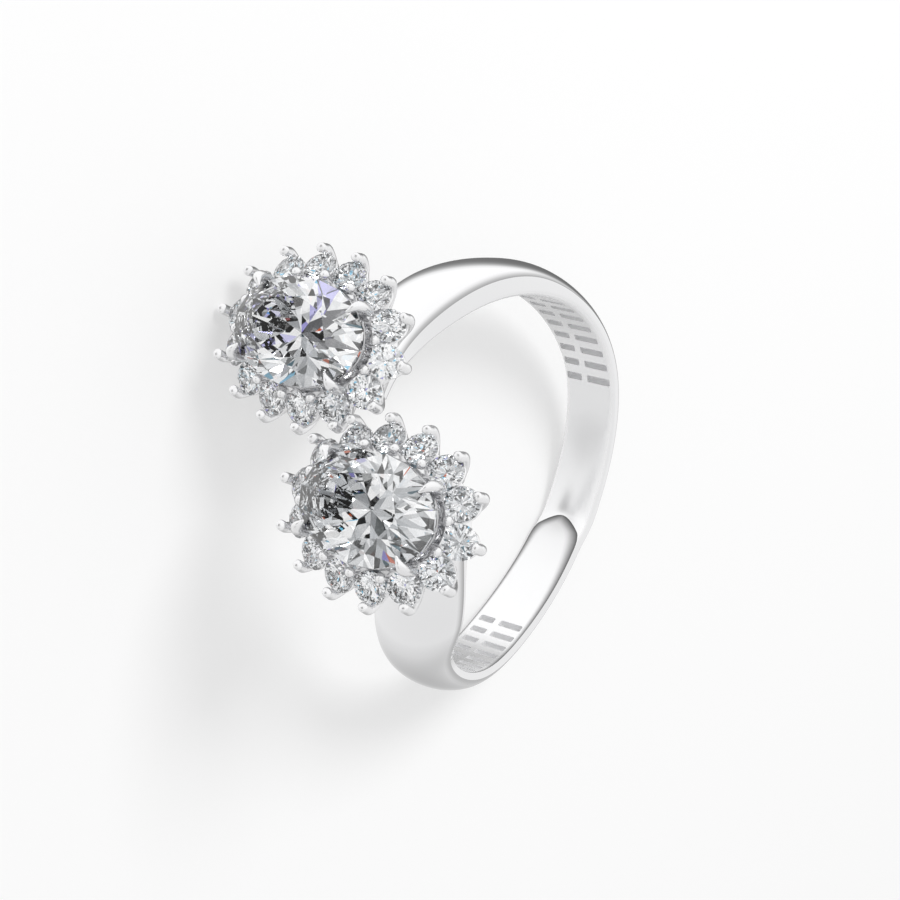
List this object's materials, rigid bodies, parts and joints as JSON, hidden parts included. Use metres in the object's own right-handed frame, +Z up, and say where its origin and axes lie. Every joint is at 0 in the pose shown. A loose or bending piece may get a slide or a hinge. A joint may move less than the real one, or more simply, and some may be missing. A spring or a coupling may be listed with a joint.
{
  "type": "halo ring",
  "caption": "Polished white metal bypass ring with two oval stones, each in a halo of round stones on an open prong basket, lying on its side.",
  "frame": {"origin": "On the surface that the ring lies on, under the middle of its bounding box.", "axes": "+Z up from the surface. +Y across the ring from the heads to the back of the shank, so the heads face -Y. +X to the right as seen from the heads' side. The finger axis leans from +Z towards -Y by the resting tilt of about 16 degrees."},
  "size_m": [0.0198, 0.0254, 0.014],
  "materials": {
    "white_metal": "polished",
    "centre_stone": "polished",
    "halo_stone": "polished"
  },
  "bodies": {
    "root": {"ring_metal": "white_metal", "centre_stone_upper": "centre_stone", "centre_stone_lower": "centre_stone", "halo_stone_upper_01": "halo_stone", "halo_stone_upper_02": "halo_stone", "halo_stone_upper_03": "halo_stone", "halo_stone_upper_04": "halo_stone", "halo_stone_upper_05": "halo_stone", "halo_stone_upper_06": "halo_stone", "halo_stone_upper_07": "halo_stone", "halo_stone_upper_08": "halo_stone", "halo_stone_upper_09": "halo_stone", "halo_stone_upper_10": "halo_stone", "halo_stone_upper_11": "halo_stone", "halo_stone_upper_12": "halo_stone", "halo_stone_upper_13": "halo_stone", "halo_stone_upper_14": "halo_stone", "halo_stone_lower_01": "halo_stone", "halo_stone_lower_02": "halo_stone", "halo_stone_lower_03": "halo_stone", "halo_stone_lower_04": "halo_stone", "halo_stone_lower_05": "halo_stone", "halo_stone_lower_06": "halo_stone", "halo_stone_lower_07": "halo_stone", "halo_stone_lower_08": "halo_stone", "halo_stone_lower_09": "halo_stone", "halo_stone_lower_10": "halo_stone", "halo_stone_lower_11": "halo_stone", "halo_stone_lower_12": "halo_stone", "halo_stone_lower_13": "halo_stone", "halo_stone_lower_14": "halo_stone"}
  },
  "joints": []
}
